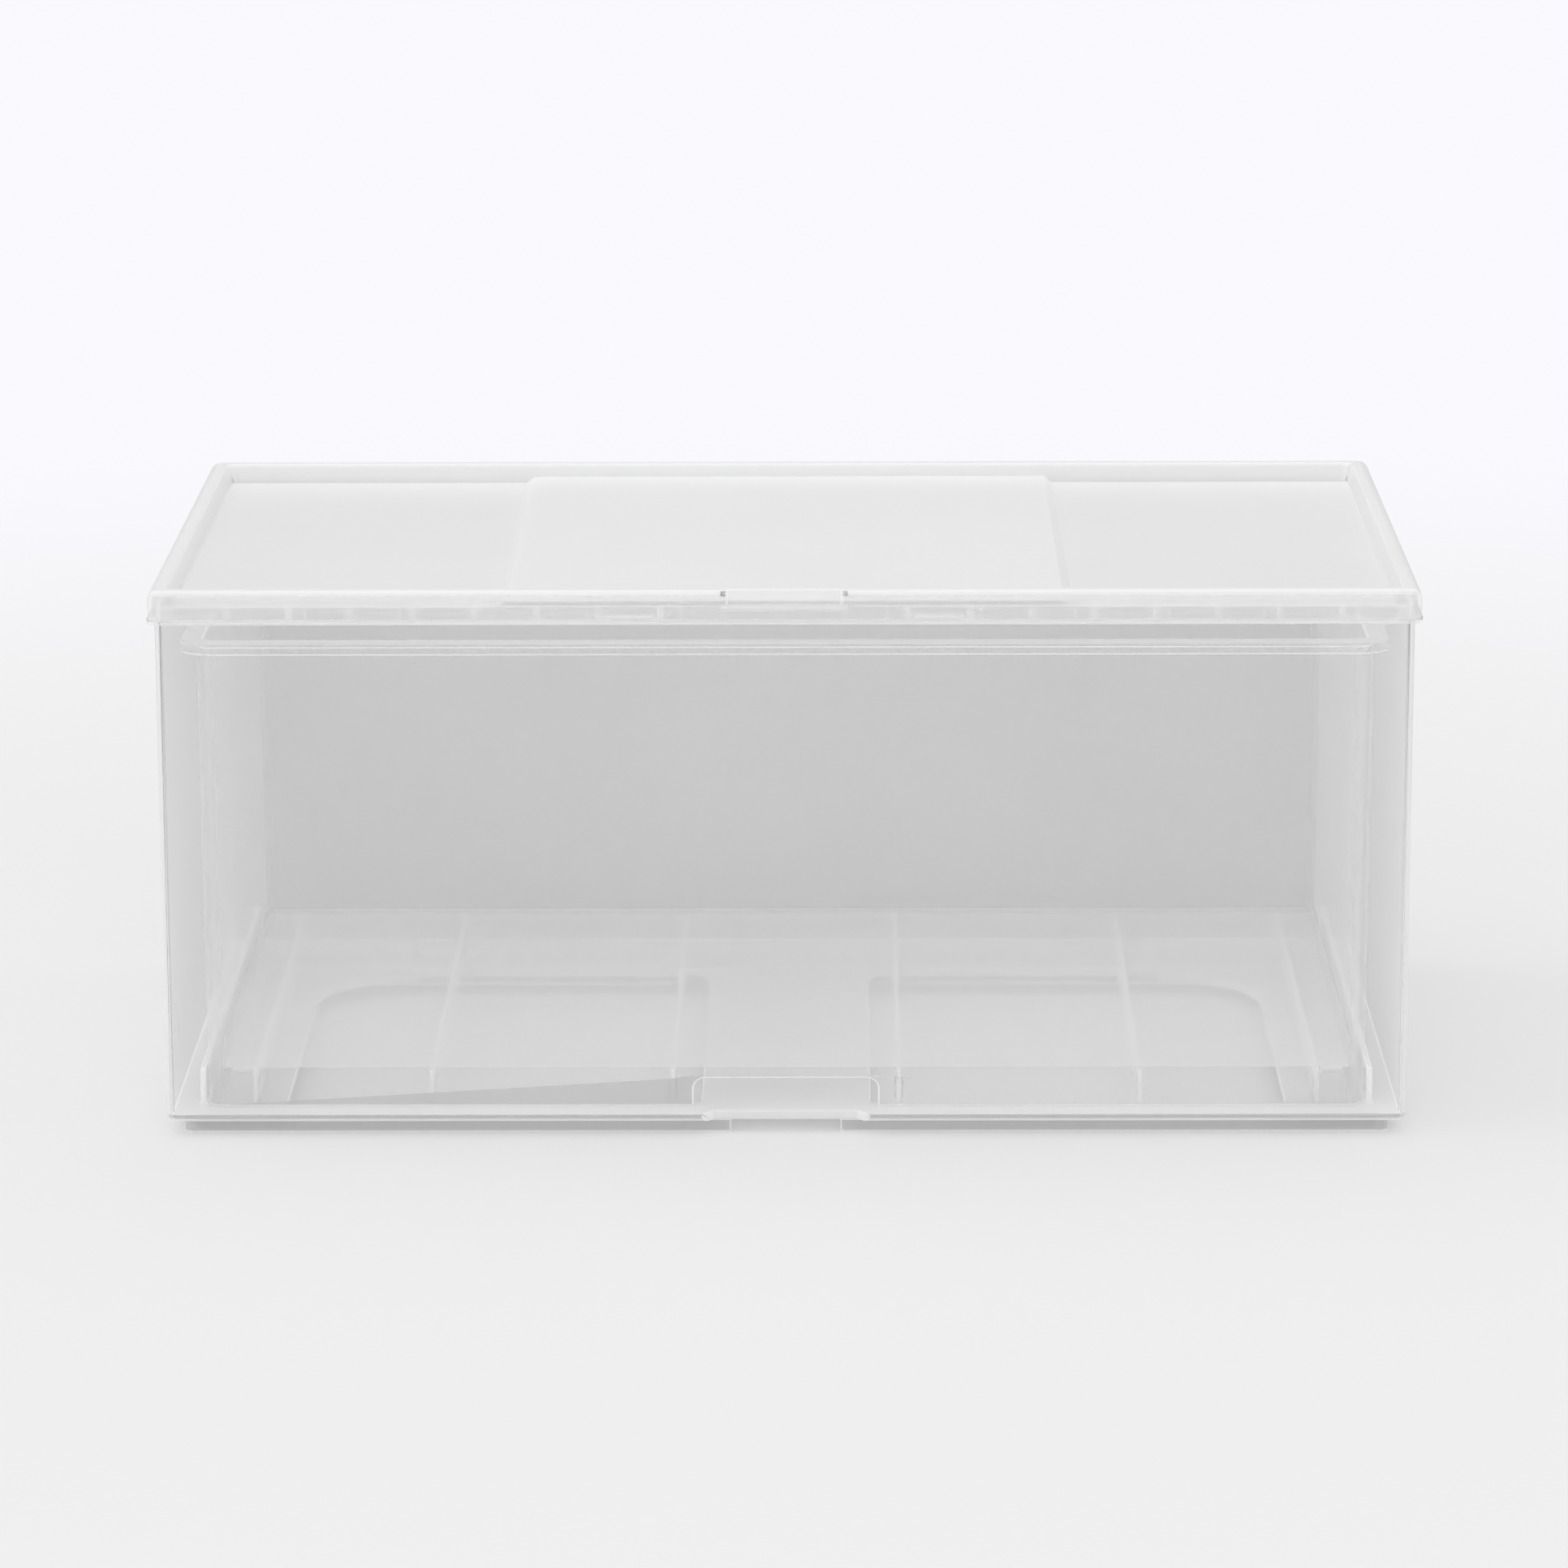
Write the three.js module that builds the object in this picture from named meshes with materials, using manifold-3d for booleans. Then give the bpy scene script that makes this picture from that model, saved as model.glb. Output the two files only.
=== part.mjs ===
// A stacking shoe box of the drawer kind, with the drawer opening on its long side.
// It is made of three mouldings: an open-fronted housing, a drawer and a lift-off lid.
// Millimetres, +Z up. X runs along the long side and the drawer opens towards -Y.
// The origin is the middle of the footprint, on the surface that the box stands on.
import * as THREE from "three";
import { mergeVertices } from "three/addons/utils/BufferGeometryUtils.js";
import Module from "manifold-3d";

const wasm = await Module();
wasm.setup();

// ---- Driving dimensions ----

// The whole box
const lidWidth = 340;
const lidDepth = 210;
const overallHeight = 150;

// Lid
const skirtDrop = 9;
const skirtWall = 1.2;
const beadProud = 0.3;
const beadHeight = 1.1;
const lidCorner = 4;
const lidShoulder = 2.4;
const lidTop = 1.5;
const trayDepth = 5.5;
const trayDraft = 1.4;
const trayWall = 1.2;
const trayCorner = 2.5;
const panelWidth = 154;
const panelSlope = 2.5;
const gussetPitch = 25;
const firstGusset = 27.5;
const sideGusset = 12.5;
const gussetThickness = 1.2;
const tabWidth = 33.2;
const tabDrop = 3.7;
const tabLip = 1.4;

// Housing
const housingWall = 1.6;
const housingCorner = 3;
const housingDraft = 0.6;
const bottomEdge = 2.4;
const floorThickness = 2.5;
const footHeight = 3.5;
const footWall = 3;
const footGap = 29.6;
const railPocket = 0.8;
const railLip = 0.8;
const webPitch = 16.5;
const webThickness = 1.2;
const catchWidth = 13;
const catchHeight = 1.2;
const windowBridge = 46;
const windowSideMargin = 32.5;
const windowFrontMargin = 12;
const windowBackMargin = 46;
const windowCorner = 4;
const windowBackCorner = 28;
const notchWidth = 43.2;
const notchDepth = 4.5;
const guideHeight = 10;
const guideWall = 1.6;
const stopHeight = 2;
const stopWidth = 6;
const stopLength = 3;

// Drawer
const drawerSideRoom = 10.3;
const drawerTopRoom = 15;
const drawerWall = 1.8;
const drawerCorner = 4.5;
const drawerDraft = 0.9;
const drawerFloor = 2;
const drawerFillet = 2.5;
const ribHeight = 7.7;
const crossRibHeight = 5;
const ribThickness = 1.4;
const firstRib = 30.7;
const ribPitch = 65.4;
const edgeRibInset = 13.7;
const crossRibs = 2;
const rimThickness = 1.6;
const rimLip = 3;
const rimLipWall = 1.4;
const rimFrontOverhang = 5.4;
const rimSideOverhang = 4.2;
const rimBackOverhang = 3.6;
const rimEdge = 0.7;
const drawerSetback = 2;
const drawerHeld = 42.6;
const pullWidth = 50;
const pullCorner = 3;
const pullGusset = 2.4;
const pullGussetHeight = 5.5;
const pullGussetLength = 8;

// Clearances
const skirtClearance = 0.5;
const channelClearance = 0.4;
const stackClearance = 0.5;
const seatGap = 0.3;
const runningGap = 0.3;
const guideClearance = 0.6;
const rearClearance = 0.8;

// Modelling aids: how far a cut passes its face, how deep a join sinks, and arc fineness
const past = 1;
const sink = 0.4;
const arcSteps = 6;
const edgeSteps = 3;

// ---- Sizes that follow ----

const skirtWidth = lidWidth - 2 * beadProud;
const skirtDepth = lidDepth - 2 * beadProud;
const skirtBottom = overallHeight - skirtDrop;

const housingInset = beadProud + skirtWall + skirtClearance;
const housingWidth = lidWidth - 2 * housingInset;
const housingDepth = lidDepth - 2 * housingInset;
const housingFront = -housingDepth / 2;
const innerWidth = housingWidth - 2 * housingWall;
const innerDepth = housingDepth - 2 * housingWall;

// The tray hangs inside the housing's walls and its pocket takes the foot of the box above.
const trayFloor = overallHeight - trayDepth;
const trayOuterWidth = innerWidth - 2 * channelClearance;
const trayOuterDepth = innerDepth - 2 * channelClearance;
const trayFloorWidth = trayOuterWidth - 2 * (trayWall + trayDraft);
const trayFloorDepth = trayOuterDepth - 2 * (trayWall + trayDraft);
const traySlope = trayDraft / trayDepth;
const panelRise = trayDepth - footHeight - seatGap;

const gussetDrop = 2.5;
const gussetBottom = overallHeight - lidTop - gussetDrop;
const housingTop = gussetBottom - seatGap;
const floorTop = footHeight + floorThickness;
const footWidth = trayFloorWidth - 2 * stackClearance;
const footDepth = trayFloorDepth - 2 * stackClearance;

const drawerWidth = housingWidth - 2 * drawerSideRoom;
const drawerBottom = floorTop + runningGap;
const drawerTop = overallHeight - drawerTopRoom;
const rimFront = housingFront + drawerSetback;
const rimBack = innerDepth / 2 - rearClearance;
const drawerFront = rimFront + rimFrontOverhang;
const drawerBack = rimBack - rimBackOverhang;
const drawerDepth = drawerBack - drawerFront;
const drawerMiddle = (drawerFront + drawerBack) / 2;
const drawerTravel = drawerDepth - drawerHeld;
const drawerInnerWidth = drawerWidth - 2 * drawerWall;
const drawerInnerDepth = drawerDepth - 2 * drawerWall;
const plateBottom = drawerBottom + ribHeight;
const plateTop = plateBottom + drawerFloor;
const edgeRib = drawerWidth / 2 - edgeRibInset;

// The walls lean in towards the floor, and keep their nominal size at the top.
const housingSlope = housingDraft / (housingTop - footHeight);
const drawerSlope = drawerDraft / (drawerTop - drawerBottom);

// ---- Building with three.js shapes, joined and cut ----

function toSolid(geometry) {
  geometry.deleteAttribute("normal");
  geometry.deleteAttribute("uv");
  const merged = mergeVertices(geometry, 1e-4);
  const vertProperties = merged.attributes.position.array;
  const triVerts = new Uint32Array(merged.index.array);
  return new wasm.Manifold(new wasm.Mesh({ numProp: 3, vertProperties, triVerts }));
}

function toMesh(name, solid, material) {
  const cut = solid.getMesh();
  const geometry = new THREE.BufferGeometry();
  geometry.setAttribute("position", new THREE.BufferAttribute(cut.vertProperties, 3));
  geometry.setIndex(new THREE.BufferAttribute(cut.triVerts, 1));
  geometry.computeVertexNormals();
  const mesh = new THREE.Mesh(geometry, material);
  mesh.name = name;
  return mesh;
}

function join(...solids) {
  return solids.reduce((whole, solid) => whole.add(solid));
}

function cut(whole, ...tools) {
  return tools.reduce((left, tool) => left.subtract(tool), whole);
}

// A box given by its two ends along each axis, in either order.
function block(x, y, z) {
  const size = [x, y, z].map(([from, to]) => Math.abs(to - from));
  const centre = [x, y, z].map(([from, to]) => (from + to) / 2);
  return toSolid(new THREE.BoxGeometry(...size).translate(...centre));
}

function roundedRectangle(width, depth, radius) {
  const x = width / 2 - radius;
  const y = depth / 2 - radius;
  const shape = new THREE.Shape();
  shape.absarc(x, -y, radius, -Math.PI / 2, 0);
  shape.absarc(x, y, radius, 0, Math.PI / 2);
  shape.absarc(-x, y, radius, Math.PI / 2, Math.PI);
  shape.absarc(-x, -y, radius, Math.PI, 1.5 * Math.PI);
  return shape;
}

// Leans the sides of an upright shape outwards as they rise. It keeps its size at one level.
function lean(geometry, width, depth, slope, level) {
  const position = geometry.attributes.position;
  for (let i = 0; i < position.count; i += 1) {
    const growth = 2 * slope * (position.getZ(i) - level);
    position.setX(i, position.getX(i) * (1 + growth / width));
    position.setY(i, position.getY(i) * (1 + growth / depth));
  }
  return geometry;
}

// A flat-faced slab on a rounded rectangle, with sides that may lean.
function slab(width, depth, radius, bottom, top, slope = 0, level = bottom) {
  const shape = roundedRectangle(width, depth, radius);
  const options = { depth: top - bottom, bevelEnabled: false, curveSegments: arcSteps };
  const geometry = new THREE.ExtrudeGeometry(shape, options).translate(0, 0, bottom);
  return toSolid(lean(geometry, width, depth, slope, level));
}

// A slab whose upper or lower outline is rounded over.
function softSlab(width, depth, radius, bottom, top, edge, rounded, slope = 0, level = top) {
  const shape = roundedRectangle(width, depth, radius);
  const low = rounded === "top" ? bottom - edge - past : bottom;
  const high = rounded === "top" ? top : top + edge + past;
  const geometry = new THREE.ExtrudeGeometry(shape, {
    depth: high - low - 2 * edge,
    bevelThickness: edge,
    bevelSize: edge,
    bevelOffset: -edge,
    bevelSegments: edgeSteps,
    curveSegments: arcSteps,
  });
  geometry.translate(0, 0, low + edge);
  const reachX = [-width, width];
  const reachY = [-depth, depth];
  const solid = toSolid(lean(geometry, width, depth, slope, level));
  return solid.intersect(block(reachX, reachY, [bottom, top]));
}

// An outline drawn across the box, (y, z) or (x, z), drawn out along the other axis.
function prism(points, length, across) {
  const shape = new THREE.Shape(points.map(([u, v]) => new THREE.Vector2(u, v)));
  const geometry = new THREE.ExtrudeGeometry(shape, { depth: length, bevelEnabled: false });
  geometry.translate(0, 0, -length / 2);
  const x = new THREE.Vector3(1, 0, 0);
  const y = new THREE.Vector3(0, 1, 0);
  const z = new THREE.Vector3(0, 0, 1);
  const turn = new THREE.Matrix4();
  if (across === "yz") turn.makeBasis(y, z, x);
  else turn.makeBasis(x, z, y.negate());
  return toSolid(geometry.applyMatrix4(turn));
}

// Places out from the middle at a pitch, up to a limit, on both sides.
function mirroredPlaces(first, pitch, limit) {
  const places = [];
  for (let place = first; place < limit; place += pitch) places.push(-place, place);
  return places;
}

// ---- Lid ----

// The flat outer shell of the lid: a skirt with a bead, and a stacking tray let into the top.
function makeLidShell() {
  const top = overallHeight - lidTop;
  const skirtCorner = lidCorner - beadProud;
  const shell = softSlab(
    skirtWidth, skirtDepth, skirtCorner, skirtBottom, overallHeight, lidShoulder, "top");
  const bead = slab(lidWidth, lidDepth, lidCorner, skirtBottom, skirtBottom + beadHeight);
  const hollow = slab(
    skirtWidth - 2 * skirtWall, skirtDepth - 2 * skirtWall,
    skirtCorner - skirtWall, skirtBottom - past, top);
  const trayBody = slab(
    trayFloorWidth + 2 * trayWall, trayFloorDepth + 2 * trayWall,
    trayCorner + trayWall, trayFloor - lidTop, top + sink, traySlope);
  const pocket = slab(
    trayFloorWidth, trayFloorDepth, trayCorner, trayFloor, overallHeight + past, traySlope);
  const tray = cut(join(cut(join(shell, bead), hollow), trayBody), pocket);
  return raisePanel(tray, pocket);
}

// The middle of the tray stands a little higher, at the height that the foot above clears.
function raisePanel(tray, pocket) {
  const low = panelWidth / 2;
  const high = low - panelSlope;
  const panelTop = trayFloor + panelRise;
  const upper = [
    [-low, trayFloor - sink], [low, trayFloor - sink], [low, trayFloor],
    [high, panelTop], [-high, panelTop], [-low, trayFloor],
  ];
  const lower = [
    [-low + trayWall, trayFloor - lidTop - past], [low - trayWall, trayFloor - lidTop - past],
    [low - trayWall, trayFloor - lidTop], [high - trayWall, panelTop - lidTop],
    [-high + trayWall, panelTop - lidTop], [-low + trayWall, trayFloor - lidTop],
  ];
  const panel = prism(upper, trayFloorDepth + 2 * trayDraft, "xz");
  const body = slab(
    trayFloorWidth + trayWall, trayFloorDepth + trayWall, trayCorner,
    trayFloor - sink, overallHeight, traySlope);
  const underside = prism(lower, trayFloorDepth - sink, "xz");
  return cut(join(tray, panel.intersect(join(pocket, body))), underside);
}

// Webs bridge the lid's rim between its skirt and its tray, and sit on the housing's edge.
function makeRimGussets() {
  const half = gussetThickness / 2;
  const rimX = [trayOuterWidth / 2 - sink, skirtWidth / 2 - skirtWall + sink];
  const rimY = [trayOuterDepth / 2 - sink, skirtDepth / 2 - skirtWall + sink];
  const height = [gussetBottom, overallHeight - lidTop + sink];
  const webs = [];
  for (const x of mirroredPlaces(firstGusset, gussetPitch, innerWidth / 2 - lidCorner))
    for (const side of [-1, 1])
      webs.push(block([x - half, x + half], rimY.map((y) => side * y), height));
  for (const y of mirroredPlaces(sideGusset, gussetPitch, innerDepth / 2 - lidCorner))
    for (const side of [-1, 1])
      webs.push(block(rimX.map((x) => side * x), [y - half, y + half], height));
  return webs;
}

// Ribs run down inside the front skirt and drop into the pockets of the housing's rail.
function makeSkirtRibs() {
  const half = gussetThickness / 2;
  const inside = -(skirtDepth / 2 - skirtWall);
  const reach = [inside - sink, inside + railPocket];
  const height = [skirtBottom + railLip + seatGap, gussetBottom + sink];
  const places = mirroredPlaces(firstGusset, gussetPitch, innerWidth / 2 - lidCorner);
  places.push(-(tabWidth / 2 - half), tabWidth / 2 - half);
  return places.map((x) => block([x - half, x + half], reach, height));
}

// A scoop in the middle of the front rim, with a lip under it to lift the lid by.
function addTab(lid) {
  const outer = -lidDepth / 2;
  const scoopBack = outer + housingInset + housingWall;
  const scoopLow = overallHeight - tabDrop;
  const half = tabWidth / 2;
  const wide = [-half, half];
  const trayFace = -trayOuterDepth / 2 + sink;
  const backing = block(wide, [outer + beadProud + sink, trayFace], [gussetBottom, overallHeight - sink]);
  const slope = [
    [scoopBack, overallHeight + sink], [outer - past, overallHeight + sink],
    [outer - past, scoopLow], [outer + beadProud, scoopLow], [scoopBack, overallHeight],
  ];
  const scoop = prism(slope, tabWidth - 2 * gussetThickness, "yz");
  const lip = block(wide, [outer, outer + beadProud + sink], [scoopLow - tabLip, scoopLow]);
  return join(cut(join(lid, backing), scoop), lip);
}

function makeLid() {
  return addTab(join(makeLidShell(), ...makeRimGussets(), ...makeSkirtRibs()));
}

// ---- Housing ----

// A base window: an opening with small corners and one large corner, outer and to the back.
function makeWindow(side) {
  const inner = windowBridge / 2;
  const outer = housingWidth / 2 - windowSideMargin;
  const front = housingFront + windowFrontMargin;
  const back = housingDepth / 2 - windowBackMargin;
  const small = windowCorner;
  const large = windowBackCorner;
  const shape = new THREE.Shape();
  shape.absarc(outer - small, front + small, small, -Math.PI / 2, 0);
  shape.absarc(outer - large, back - large, large, 0, Math.PI / 2);
  shape.absarc(inner + small, back - small, small, Math.PI / 2, Math.PI);
  shape.absarc(inner + small, front + small, small, Math.PI, 1.5 * Math.PI);
  const height = floorTop + 2 * past;
  const options = { depth: height, bevelEnabled: false, curveSegments: 2 * arcSteps };
  const geometry = new THREE.ExtrudeGeometry(shape, options).translate(0, 0, -past);
  const solid = toSolid(geometry);
  return side > 0 ? solid : solid.mirror([1, 0, 0]);
}

// The front top rail is cored out in front, which leaves upright webs at a close pitch.
function makeRailPockets() {
  const bottom = skirtBottom + railLip;
  const depth = [housingFront - past, housingFront + railPocket];
  const half = webThickness / 2;
  const end = innerWidth / 2 - housingCorner;
  const pockets = block([-end, end], depth, [bottom, housingTop + past]);
  const webs = mirroredPlaces(2 * webPitch, webPitch, end).map((x) =>
    block([x - half, x + half], depth, [bottom - past, housingTop + 2 * past]));
  const catchMiddle = 2.5 * webPitch;
  const catches = [-catchMiddle, catchMiddle].map((x) =>
    block([x - catchWidth / 2, x + catchWidth / 2], depth, [bottom - past, bottom + catchHeight]));
  return cut(pockets, ...webs, ...catches);
}

// Two low rails keep the drawer straight, and two stops catch its back wall when it is open.
function makeRunners() {
  const front = housingFront + windowFrontMargin;
  const back = innerDepth / 2 + sink;
  const guideTop = floorTop + guideHeight;
  const face = drawerWidth / 2 - drawerSlope * (drawerTop - guideTop) + guideClearance;
  const bottom = floorTop - sink;
  const stopMiddle = (edgeRib + ribThickness / 2 + drawerInnerWidth / 2) / 2;
  const stopBack = drawerBack - drawerDraft - drawerWall - drawerTravel - runningGap;
  const runners = [];
  for (const side of [-1, 1]) {
    const guide = [side * face, side * (face + guideWall)];
    const stop = [side * (stopMiddle - stopWidth / 2), side * (stopMiddle + stopWidth / 2)];
    runners.push(block(guide, [front, back], [bottom, guideTop]));
    runners.push(block(stop, [stopBack - stopLength, stopBack], [bottom, floorTop + stopHeight]));
  }
  return runners;
}

// The stacking foot: a low ring under the floor, open in the middle of the front.
function makeFoot() {
  const ring = cut(
    slab(footWidth, footDepth, trayCorner, 0, footHeight + sink),
    slab(footWidth - 2 * footWall, footDepth - 2 * footWall, trayCorner, -past, footHeight + past));
  const gap = block(
    [-footGap / 2, footGap / 2], [-footDepth, -footDepth / 2 + footWall + past],
    [-past, footHeight]);
  return cut(ring, gap);
}

// A bite out of the floor's front edge, with slanting ends, gives room for a finger.
function makeFloorNotch() {
  const half = notchWidth / 2;
  const shape = new THREE.Shape();
  shape.moveTo(-half - notchDepth / 2, housingFront - past);
  shape.lineTo(half + notchDepth / 2, housingFront - past);
  shape.lineTo(half - notchDepth / 2, housingFront + notchDepth);
  shape.lineTo(-half + notchDepth / 2, housingFront + notchDepth);
  const options = { depth: floorTop - footHeight + past, bevelEnabled: false };
  return toSolid(new THREE.ExtrudeGeometry(shape, options).translate(0, 0, footHeight));
}

// The front is open between the side walls, from the floor up to the rail.
function makeFrontOpening() {
  const through = slab(
    innerWidth, 2 * housingDepth, housingCorner, floorTop, skirtBottom, housingSlope, housingTop);
  const reach = [-housingDepth, housingFront + housingCorner];
  return through.intersect(block([-housingWidth, housingWidth], reach, [0, skirtBottom]));
}

function makeHousing() {
  const body = softSlab(
    housingWidth, housingDepth, housingCorner, footHeight, housingTop, bottomEdge, "bottom",
    housingSlope);
  const inside = slab(
    innerWidth, innerDepth, housingCorner - housingWall, floorTop, housingTop + past,
    housingSlope, housingTop);
  const frontOpening = makeFrontOpening();
  const shell = cut(body, inside, frontOpening, makeRailPockets(), makeFloorNotch());
  const whole = join(shell, makeFoot(), ...makeRunners());
  return cut(whole, makeWindow(-1), makeWindow(1));
}

// ---- Drawer ----

// Ribs under the drawer's floor: runners from front to back, and shallower cross ribs.
function makeFloorRibs() {
  const half = ribThickness / 2;
  const sunk = drawerDraft + drawerWall / 2;
  const length = [drawerFront + sunk, drawerBack - sunk];
  const width = [-drawerWidth / 2 + sunk, drawerWidth / 2 - sunk];
  const top = plateBottom + sink;
  const places = mirroredPlaces(firstRib, ribPitch, edgeRib - ribPitch / 4);
  places.push(-edgeRib, edgeRib);
  const ribs = places.map((x) => block([x - half, x + half], length, [drawerBottom, top]));
  for (let i = 1; i <= crossRibs; i += 1) {
    const y = drawerFront + (drawerDepth * i) / (crossRibs + 1);
    ribs.push(block(width, [y - half, y + half], [plateBottom - crossRibHeight, top]));
  }
  return ribs;
}

// A finger hole through the front wall, under the floor, between two short stiffeners.
function makePullHole() {
  const shape = roundedRectangle(pullWidth, 2 * ribHeight, pullCorner);
  const length = drawerDraft + drawerWall + 2 * past;
  const options = { depth: length, bevelEnabled: false, curveSegments: arcSteps };
  const geometry = new THREE.ExtrudeGeometry(shape, options);
  geometry.rotateX(Math.PI / 2).translate(0, drawerFront + length - past, drawerBottom);
  return toSolid(geometry);
}

function makePullStiffeners() {
  const half = pullGusset / 2;
  const length = [drawerFront + drawerDraft + drawerWall / 2, drawerFront + pullGussetLength];
  const height = [drawerBottom, drawerBottom + pullGussetHeight];
  return [-firstRib, firstRib].map((x) => block([x - half, x + half], length, height));
}

// The rim is turned out and down all round, and stands out furthest at the front.
function makeRim() {
  const width = drawerWidth + 2 * rimSideOverhang;
  const depth = rimBack - rimFront;
  const middle = (rimFront + rimBack) / 2;
  const corner = drawerCorner + rimSideOverhang;
  const outer = softSlab(width, depth, corner, drawerTop - rimLip, drawerTop, rimEdge, "top");
  const under = slab(
    width - 2 * rimLipWall, depth - 2 * rimLipWall, corner - rimLipWall,
    drawerTop - rimLip - past, drawerTop - rimThickness);
  return cut(outer, under).translate([0, middle, 0]);
}

function makeDrawer() {
  const innerCorner = drawerCorner - drawerWall;
  const centre = [0, drawerMiddle, 0];
  const tub = slab(
    drawerWidth, drawerDepth, drawerCorner, drawerBottom, drawerTop - rimEdge,
    drawerSlope, drawerTop);
  const inside = softSlab(
    drawerInnerWidth, drawerInnerDepth, innerCorner, plateTop, drawerTop + past,
    drawerFillet, "bottom", drawerSlope, drawerTop);
  const below = slab(
    drawerInnerWidth, drawerInnerDepth, innerCorner, drawerBottom - past, plateBottom,
    drawerSlope, drawerTop);
  const walls = join(cut(tub, below).translate(centre), makeRim());
  const shell = cut(walls, inside.translate(centre), makePullHole());
  return join(shell, ...makeFloorRibs(), ...makePullStiffeners());
}

// ---- The assembly ----

function milkyPlastic(color) {
  return new THREE.MeshStandardMaterial({ color, roughness: 0.35, metalness: 0 });
}

const shoeBox = new THREE.Group();
shoeBox.add(toMesh("housing", makeHousing(), milkyPlastic(0xdfe2e6)));
shoeBox.add(toMesh("drawer", makeDrawer(), milkyPlastic(0xd2d5d9)));
shoeBox.add(toMesh("lid", makeLid(), milkyPlastic(0xe9ebee)));

export default shoeBox;
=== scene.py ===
"""A stacking shoe box of three clear mouldings: an open-fronted housing, a drawer and a lift-off lid.

Metres, +Z up. The drawer opens towards -Y. Each moulding is a merged copy of its frame node with
rounded edges. Its panels carry thin, clear plastics and its edges a milkier one, and slim bars inside
its ribs and webs stand for the thick plastic there. The plastics are lit and shaded copies of one
plastic. Level plates are painted a little lighter, as painted top light. The housing's and drawer's
back walls and bases are painted darker, as painted shade, and the lid's back wall lighter. The edges
and ribs are painted lighter, as painted highlights, and some plastics carry a painted glow.
"""
from math import prod, radians

import bmesh
import bpy
from mathutils import Matrix, Vector
from mathutils.bvhtree import BVHTree


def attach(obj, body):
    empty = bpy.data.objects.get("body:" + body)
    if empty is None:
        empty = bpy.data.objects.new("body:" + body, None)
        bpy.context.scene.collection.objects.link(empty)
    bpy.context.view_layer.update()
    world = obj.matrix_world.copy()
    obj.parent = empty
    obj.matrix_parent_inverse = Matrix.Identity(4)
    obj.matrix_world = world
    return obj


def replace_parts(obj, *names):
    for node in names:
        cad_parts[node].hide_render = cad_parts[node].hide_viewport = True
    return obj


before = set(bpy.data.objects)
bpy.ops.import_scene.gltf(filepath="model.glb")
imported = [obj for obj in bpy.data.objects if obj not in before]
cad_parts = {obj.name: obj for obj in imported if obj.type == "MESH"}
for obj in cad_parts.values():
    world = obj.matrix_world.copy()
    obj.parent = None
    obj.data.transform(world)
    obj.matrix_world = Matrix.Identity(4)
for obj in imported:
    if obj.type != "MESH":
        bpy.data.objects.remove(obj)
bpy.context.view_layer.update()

MM = 0.001

# The camera: where it stands, how far it looks down, sideways and askew, and its lens.
CAMERA_PLACE = Vector((14.6, -1986.0, 502.4)) * MM
CAMERA_PITCH = radians(12.14)
CAMERA_YAW = radians(0.45)
CAMERA_ROLL = radians(-0.17)
CAMERA_LENS = 165.4

# The table top, solid near the box and faded out at its edge, and the light all round.
FLOOR_SOLID = 0.32
FLOOR_RADIUS = 1.1
FLOOR_LIGHT = 0.9
AMBIENT = 0.42
BACKDROP = (0.955, 0.946, 0.988, 1)
MIDDLE_OF_BOX = Vector((0, 0, 70)) * MM

# Each lamp: where it shines from, how wide it is, and its strength.
LAMPS = {
    "overhead": ((0, 0.35, 1.6), radians(90), 1.15),
    "left": ((-1.5, -0.2, 0.8), radians(70), 0.62),
    "right": ((1.5, -0.2, 0.8), radians(70), 0.22),
    "front": ((0, -1.6, 0.6), radians(70), 0.55),
}

# How many clear faces a look may pass through: each wall has two, and each bar inside a rib too.
CLEAR_FACES = 48

# Moulded plastic: the size of its cloudy patches and waves, how much lighter and darker and how much
# rougher and smoother the patches are, how deep the waves are, and how far light spreads inside.
CLOUD_SIZE = 60 * MM
WAVE_SIZE = 25 * MM
CLOUD_DARK = 0.96
CLOUD_LIGHT = 1.03
GLOSS_SPREAD = 0.12
WAVE_DEPTH = 0.5 * MM
WAVE_STRENGTH = 0.1
SPREAD_INSIDE = 4 * MM

# The slant of a face goes from 0, square on, to 1, edge on, where a look would pass through no end
# of plastic. This keeps the longest path through a face to 20 times its thickness.
EDGE_ON = 1.05

# The plastics of each moulding, by finish: its lightness, the haze and shade that plastic() tells of,
# and where they aren't usual its sheen and its painted glow, an emission that stands for light piped
# to edges and ribs. The finishes are lit and shaded copies of one plastic, painted lighter or darker
# as noted at each.
HOUSING = {
    "wall": dict(light=0.85, haze=0.55, shade=0.14, sheen=0.6),
    # The housing's back wall is painted darker than its other walls: painted shade.
    "back": dict(light=0.63, haze=0.74, shade=0.2),
    # Level plates are painted a little lighter than the walls: painted top light.
    "plate": dict(light=0.89, haze=0.48, shade=0.26),
    "tray": dict(light=0.95, haze=0.55, shade=0.2),
    # The foot, and low faces at the front, are painted darker: painted shadow under the box.
    "base": dict(light=0.60, haze=0.84, shade=0.4),
    # The edge and rib plastics are milkier and also painted lighter, with a painted glow: painted
    # highlights.
    "edge": dict(light=0.98, haze=0.60, shade=0.1, painted_glow=0.10),
    "rib": dict(light=1.0, haze=0.70, shade=0.1, painted_glow=0.06),
}
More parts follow.
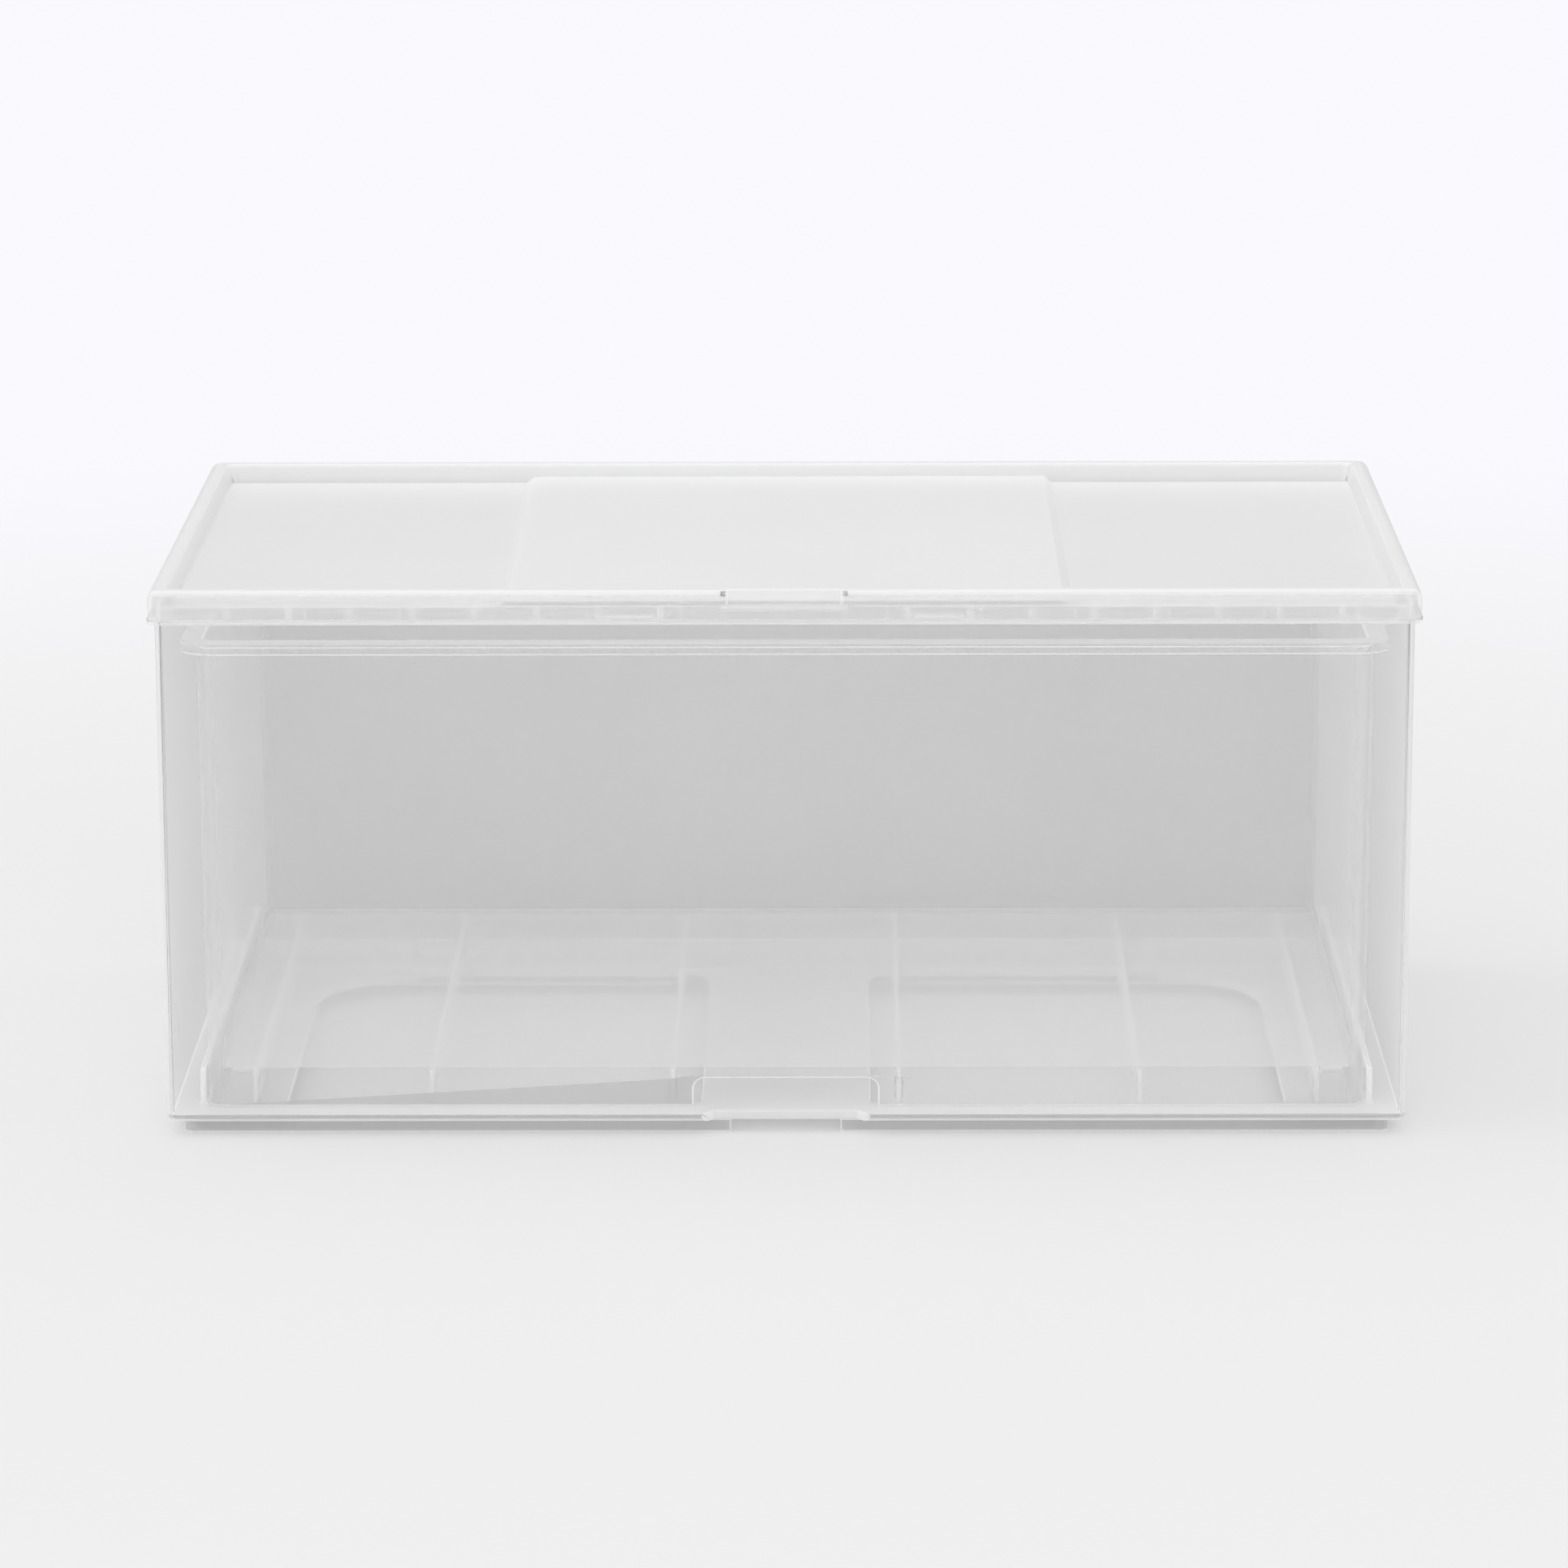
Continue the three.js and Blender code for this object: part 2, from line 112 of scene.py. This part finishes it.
DRAWER = {
    "wall": dict(light=0.92, haze=0.11, shade=0.05, sheen=0.6),
    # The drawer's back wall is painted darker than its other walls: painted shade.
    "back": dict(light=0.72, haze=0.16, shade=0.05),
    # Level plates are painted a little lighter than the walls: painted top light.
    "plate": dict(light=0.97, haze=0.26, shade=0.06),
    # The drawer's front skirting below its floor is painted darker: painted shade under the floor.
    "base": dict(light=0.60, haze=0.64, shade=0.1),
    # The edge and rib plastics are milkier and also painted lighter, with a painted glow: painted
    # highlights.
    "edge": dict(light=1.0, haze=0.70, shade=0.1, painted_glow=0.11),
    "rib": dict(light=0.97, haze=0.60, shade=0.1, painted_glow=0.05),
}
LID = {
    "wall": dict(light=0.90, haze=0.26, shade=0.12),
    # The lid's back wall is painted lighter and more opaque, with a faint painted glow: painted
    # light.
    "back": dict(light=1.0, haze=0.84, shade=0.14, painted_glow=0.02),
    # Level plates are painted lighter than the walls: painted top light.
    "plate": dict(light=1.0, haze=0.66, shade=0.15, painted_glow=0.03),
    # The lid's sunken tray floors are painted darker than its other plates: painted shade.
    "tray": dict(light=0.93, haze=0.66, shade=0.15),
    # The edge and rib plastics are milkier and also painted lighter, with a painted glow: painted
    # highlights.
    "edge": dict(light=1.0, haze=0.72, shade=0.14, painted_glow=0.03),
    "rib": dict(light=1.0, haze=0.60, shade=0.1, painted_glow=0.03),
}


# ---- Materials ----

class Value:
    """A node's output. Used with an operator, it adds the Math node that works the sum out."""

    def __init__(self, surface, socket):
        self.surface = surface
        self.socket = socket

    def sum(self, operation, first, second):
        return self.surface.node("ShaderNodeMath", {"operation": operation}, {0: first, 1: second})

    def __add__(self, other):
        return self.sum("ADD", self, other)

    def __sub__(self, other):
        return self.sum("SUBTRACT", self, other)

    def __rsub__(self, other):
        return self.sum("SUBTRACT", other, self)

    def __mul__(self, other):
        return self.sum("MULTIPLY", self, other)

    def __rtruediv__(self, other):
        return self.sum("DIVIDE", other, self)

    def __rpow__(self, other):
        return self.sum("POWER", other, self)

    __radd__ = __add__
    __rmul__ = __mul__


# A Mix node's colour sockets, which share their names with its other kinds.
MIX_A = 6
MIX_B = 7
MIX_RESULT = 2


class Surface:
    """A material, or the world, that grows one node a call."""

    def __init__(self, owner):
        owner.use_nodes = True
        self.owner = owner
        self.tree = owner.node_tree
        self.tree.nodes.clear()

    def node(self, kind, settings=None, inputs=None, output=0):
        """Adds a node with these settings and these values or links, and gives one of its outputs."""
        node = self.tree.nodes.new(kind)
        for name, value in (settings or {}).items():
            setattr(node, name, value)
        for name, value in (inputs or {}).items():
            if isinstance(value, Value):
                self.tree.links.new(value.socket, node.inputs[name])
            else:
                node.inputs[name].default_value = value
        return Value(self, node.outputs[output])

    def show(self, shader, kind="ShaderNodeOutputMaterial"):
        """Ends the tree: what this shader says is what is seen."""
        self.tree.links.new(shader.socket, self.tree.nodes.new(kind).inputs["Surface"])
        return self.owner

    def noise(self, size, detail=2.0, roughness=0.5):
        """Noise from 0 to 1 whose patches measure about this size."""
        place = self.node("ShaderNodeTexCoord", output="Object")
        inputs = {"Vector": place, "Scale": 1 / size, "Detail": detail, "Roughness": roughness}
        return self.node("ShaderNodeTexNoise", {"noise_dimensions": "3D"}, inputs)

    def mix_colour(self, amount, first, second):
        """The first colour where amount is 0, the second where it is 1."""
        inputs = {"Factor": amount, MIX_A: first, MIX_B: second}
        return self.node("ShaderNodeMix", {"data_type": "RGBA"}, inputs, output=MIX_RESULT)


def grey(level):
    return (level, level, level, 1.0)


def plastic(name, light, haze, shade, gloss, sheen=0.3, painted_glow=0.0):
    """Moulded polypropylene: milky, cloudy from the melt's flow and faintly wavy.

    haze is how much of what is behind a face it hides when looked at square on. A slanting look
    goes through more plastic and sees less. A wall hides with the face that looks outwards, and its
    other face is clear. shade is how much of a lamp's light a face keeps back. The glow is a painted
    glow: an emission that stands for the light that the walls pipe along to their edges and ribs.
    """
    surface = Surface(bpy.data.materials.new(name))
    cloud = surface.noise(size=CLOUD_SIZE, detail=2.0)
    flow = surface.noise(size=WAVE_SIZE, detail=1.0)
    colour = surface.mix_colour(
        cloud, grey(light * CLOUD_DARK), grey(min(light * CLOUD_LIGHT, 1.0)))
    roughness = gloss + (cloud - 0.5) * GLOSS_SPREAD
    waves = surface.node(
        "ShaderNodeBump", {}, {"Strength": WAVE_STRENGTH, "Distance": WAVE_DEPTH, "Height": flow})
    slant = surface.node("ShaderNodeLayerWeight", {}, {"Blend": 0.5}, output="Facing")
    path = 1 / (EDGE_ON - slant)
    back = surface.node("ShaderNodeNewGeometry", output="Backfacing")
    hidden = (1 - (1 - haze) ** path) * (1 - back)
    shadow = surface.node("ShaderNodeLightPath", output="Is Shadow Ray")
    shader = surface.node("ShaderNodeBsdfPrincipled", {}, {
        "Base Color": colour,
        "Roughness": roughness,
        "Normal": waves,
        "Alpha": hidden + shadow * (shade - hidden),
        "IOR": 1.49,
        "Subsurface Weight": 1.0,
        "Subsurface Radius": (1, 1, 1),
        "Subsurface Scale": SPREAD_INSIDE,
        "Sheen Weight": sheen,
        "Sheen Roughness": 0.5,
        # The emission is a painted glow, not a lamp.
        "Emission Color": grey(1.0),
        "Emission Strength": painted_glow,
    })
    return surface.show(shader)


# ---- Mouldings ----

# Edges sharper than this are rounded over.
SHARP = radians(35)

# Faces nearer than this to upright or level count as such.
UPRIGHT = 0.7
SQUARE = 0.99

# Strips slimmer than the first end a web or gusset, and lips slimmer than the second are thick
# plastic seen on edge. Lips take the edge plastic, which is milkier and also painted lighter, a
# painted highlight.
SLIM = 1.9 * MM
LIP = 2.5 * MM

# The bars inside webs and gussets: the skin round them, and how far in and how wide they may be.
CORE_INSET = 0.12 * MM
DEEPEST_CORE = 30 * MM
WIDEST_CORE = 20 * MM

# The ribs that run from front to back under the drawer's floor: how far they stand to each side of
# the middle, and the lowest and highest corner of one in the middle, less the skin round its bar.
FLOOR_RIBS = [30.7 * MM, 96.1 * MM, 144.0 * MM]
RIB_LOW = Vector((-0.5, -93.0, 6.6)) * MM
RIB_HIGH = Vector((0.5, 94.5, 15.8)) * MM

# Faces below these heights take the base plastic, painted darker as painted shadow.
# The foot ends below the first height, and at the front the drawer's skirting below the second.
FOOT = 5 * MM
UNDER = 16.5 * MM
FRONT = -80 * MM

# The floor of the lid's trays, its upper and lower face, lies between these heights.
TRAY_FLOOR = (143 * MM, 145.5 * MM)

MERGED = 0.001 * MM
FLAT = radians(1)


def merged_copy(node):
    """The frame node as one closed mesh of flat panels."""
    bm = bmesh.new()
    bm.from_mesh(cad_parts[node].data)
    bmesh.ops.remove_doubles(bm, verts=bm.verts, dist=MERGED)
    bmesh.ops.dissolve_limit(
        bm, angle_limit=FLAT, use_dissolve_boundaries=False, verts=bm.verts, edges=bm.edges)
    return bm


def width_of(face):
    """How wide a face is across its longest edge."""
    return face.calc_area() / max(edge.calc_length() for edge in face.edges)


def is_sharp(edge):
    return edge.is_manifold and edge.calc_face_angle() > SHARP


def is_strip(face, width):
    """True for a narrow face with a sharp edge down each side."""
    across = width_of(face)
    if across > width:
        return False
    return all(is_sharp(edge) for edge in face.edges if edge.calc_length() > across * 1.5)


def ends_a_web(face):
    """True for the slim, square end face of a web, gusset or rib."""
    is_square = max(abs(part) for part in face.normal) > SQUARE
    return is_square and len(face.edges) == 4 and is_strip(face, SLIM)


def bar(bm, low, high):
    """A straight bar between two opposite corners."""
    size = Matrix.Diagonal((*(high - low), 1))
    bmesh.ops.create_cube(bm, size=1.0, matrix=Matrix.Translation((low + high) / 2) @ size)


def meet(first, second):
    """True if two bars, each given by its lowest and highest corner, share some space."""
    return all(first[0][i] < second[1][i] and second[0][i] < first[1][i] for i in range(3))


def apart(bars):
    """These bars, the largest first, without any that runs into one already kept."""
    kept = []
    for ends in sorted(bars, key=lambda ends: -prod(ends[1] - ends[0])):
        if not any(meet(ends, other) for other in kept):
            kept.append(ends)
    return kept


def corners_of(places):
    """The lowest and the highest corner of the box round these places."""
    return Vector(map(min, *places)), Vector(map(max, *places))


def core_behind(face, solid):
    """The two corners of the bar behind the end face of a web, or None if it would be too large."""
    inward = -face.normal
    start = face.calc_center_median() + inward * CORE_INSET
    depth = solid.ray_cast(start, inward, DEEPEST_CORE)[3]
    low, high = corners_of([vert.co for vert in face.verts])
    if depth is None or high.x - low.x > WIDEST_CORE:
        return None
    skin = Vector(CORE_INSET if high[i] > low[i] + CORE_INSET * 2 else 0 for i in range(3))
    near = inward * CORE_INSET
    far = inward * max(depth - CORE_INSET, CORE_INSET * 2)
    return corners_of([low + skin + near, low + skin + far, high - skin + near, high - skin + far])


def rib_cores(bm):
    """Slim bars just inside the webs and gussets, where the plastic is thick and milky. Their plastic
    is also painted lighter, with a painted glow: a painted highlight.
    """
    solid = BVHTree.FromBMesh(bm)
    bars = [core_behind(face, solid) for face in bm.faces if ends_a_web(face)]
    cores = bmesh.new()
    for low, high in apart(filter(None, bars)):
        bar(cores, low, high)
    return cores


def floor_rib_cores():
    """The cores of the long ribs under the drawer's floor."""
    cores = bmesh.new()
    for reach in FLOOR_RIBS:
        for side in (-reach, reach):
            bar(cores, RIB_LOW + Vector((side, 0, 0)), RIB_HIGH + Vector((side, 0, 0)))
    return cores


def finish_of(face):
    """The finish of a panel: a level plate, the back wall, the base, a lip or any other wall. Its
    plastic is painted lighter or darker by finish, as painted light and shade.
    """
    place = face.calc_center_median()
    # Level faces take the plate plastic, painted a little lighter than the walls as painted top
    # light. The faces at the lid trays' floor height take the tray plastic, which on the lid is
    # painted darker as painted shade.
    if abs(face.normal.z) > UPRIGHT:
        return "tray" if TRAY_FLOOR[0] < place.z < TRAY_FLOOR[1] else "plate"
    # Lips take the edge plastic: milkier, and painted lighter with a painted glow as a painted
    # highlight.
    if is_strip(face, LIP):
        return "edge"
    # Upright faces at the back take the back plastic: painted shade on the housing and drawer,
    # painted light on the lid.
    if abs(face.normal.y) > UPRIGHT and place.y > 0:
        return "back"
    # Low faces at the foot, and at the front below the drawer's floor, take the base plastic, painted
    # darker as painted shadow.
    if max(vert.co.z for vert in face.verts) < (UNDER if place.y < FRONT else FOOT):
        return "base"
    return "wall"


def to_object(bm, name, body, plastics):
    """Makes the mesh a piece that moves with this body, with these plastics as its materials."""
    mesh = bpy.data.meshes.new(name)
    bm.to_mesh(mesh)
    bm.free()
    for material in plastics:
        mesh.materials.append(material)
    piece = bpy.data.objects.new(name, mesh)
    bpy.context.scene.collection.objects.link(piece)
    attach(piece, body)
    return piece


def moulding(node, rounding, gloss, finishes):
    """A moulding with rounded edges that stands for its frame node, and the bars inside its ribs."""
    *panels, rib = [plastic(f"{node}_{name}", gloss=gloss, **kind) for name, kind in finishes.items()]
    slots = {name: slot for slot, name in enumerate(finishes)}
    bm = merged_copy(node)
    cores = floor_rib_cores() if node == "drawer" else rib_cores(bm)
    for face in bm.faces:
        face.material_index = slots.get(finish_of(face), slots["plate"])
    rounded = bmesh.ops.bevel(
        bm, geom=[e for e in bm.edges if is_sharp(e)], offset=rounding, affect="EDGES", segments=2,
        profile=0.5, material=-1, clamp_overlap=False)
    # The rounded edges take the edge plastic too, painted lighter with a painted glow as a painted
    # highlight.
    for face in rounded["faces"]:
        face.material_index = slots["edge"]
    for face in bm.faces:
        face.smooth = width_of(face) < SLIM
    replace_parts(to_object(bm, node + "_moulding", node, panels), node)
    to_object(cores, node + "_ribs", node, [rib])


# ---- Stage ----

def add_camera():
    """The camera, which looks at the box from the front and a little from above."""
    camera = bpy.data.objects.new("camera", bpy.data.cameras.new("camera"))
    bpy.context.scene.collection.objects.link(camera)
    camera.data.lens = CAMERA_LENS
    camera.data.clip_end = 20
    turn = (
        Matrix.Rotation(CAMERA_YAW, 4, "Z")
        @ Matrix.Rotation(radians(90) - CAMERA_PITCH, 4, "X")
        @ Matrix.Rotation(CAMERA_ROLL, 4, "Z"))
    camera.matrix_world = Matrix.Translation(CAMERA_PLACE) @ turn
    bpy.context.scene.camera = camera


def add_floor():
    """A pale round table top that fades out into the surroundings."""
    bm = bmesh.new()
    bmesh.ops.create_circle(bm, cap_ends=True, segments=96, radius=FLOOR_RADIUS)
    mesh = bpy.data.meshes.new("floor")
    bm.to_mesh(mesh)
    bm.free()
    surface = Surface(bpy.data.materials.new("pale_floor"))
    place = surface.node("ShaderNodeTexCoord", output="Object")
    reach = surface.node(
        "ShaderNodeVectorMath", {"operation": "LENGTH"}, {0: place}, output="Value")
    fade = surface.node("ShaderNodeMapRange", {"interpolation_type": "SMOOTHSTEP"}, {
        "Value": reach, "From Min": FLOOR_SOLID, "From Max": FLOOR_RADIUS,
        "To Min": 1.0, "To Max": 0.0})
    shader = surface.node("ShaderNodeBsdfPrincipled", {}, {
        "Base Color": grey(FLOOR_LIGHT), "Roughness": 0.9, "Specular IOR Level": 0.0, "Alpha": fade})
    mesh.materials.append(surface.show(shader))
    floor = bpy.data.objects.new("floor", mesh)
    bpy.context.scene.collection.objects.link(floor)


def aimed(place):
    """The matrix of something at this place that looks at the middle of the box."""
    aim = (MIDDLE_OF_BOX - Vector(place)).to_track_quat("-Z", "Y")
    return Matrix.Translation(place) @ aim.to_matrix().to_4x4()


def add_sun(name, place, spread, strength):
    """A far, wide light that falls evenly from this direction."""
    lamp = bpy.data.lights.new(name, "SUN")
    lamp.angle = spread
    lamp.energy = strength
    light = bpy.data.objects.new(name, lamp)
    bpy.context.scene.collection.objects.link(light)
    light.matrix_world = aimed(place)


def add_surroundings():
    """Even white light from all round, in front of a slightly cool, brighter backdrop."""
    world = bpy.data.worlds.new("studio")
    bpy.context.scene.world = world
    surface = Surface(world)
    seen = surface.node("ShaderNodeLightPath", output="Is Camera Ray")
    colour = surface.mix_colour(seen, grey(AMBIENT), BACKDROP)
    surface.show(surface.node("ShaderNodeBackground", {}, {"Color": colour}), "ShaderNodeOutputWorld")


def add_stage():
    add_camera()
    add_floor()
    add_surroundings()
    for name, (place, spread, strength) in LAMPS.items():
        add_sun(name, place, spread, strength)
    scene = bpy.context.scene
    scene.view_settings.view_transform = "Standard"
    scene.cycles.transparent_max_bounces = CLEAR_FACES


def main():
    add_stage()
    moulding("housing", rounding=0.35 * MM, gloss=0.3, finishes=HOUSING)
    moulding("drawer", rounding=0.45 * MM, gloss=0.22, finishes=DRAWER)
    moulding("lid", rounding=0.3 * MM, gloss=0.35, finishes=LID)


main()
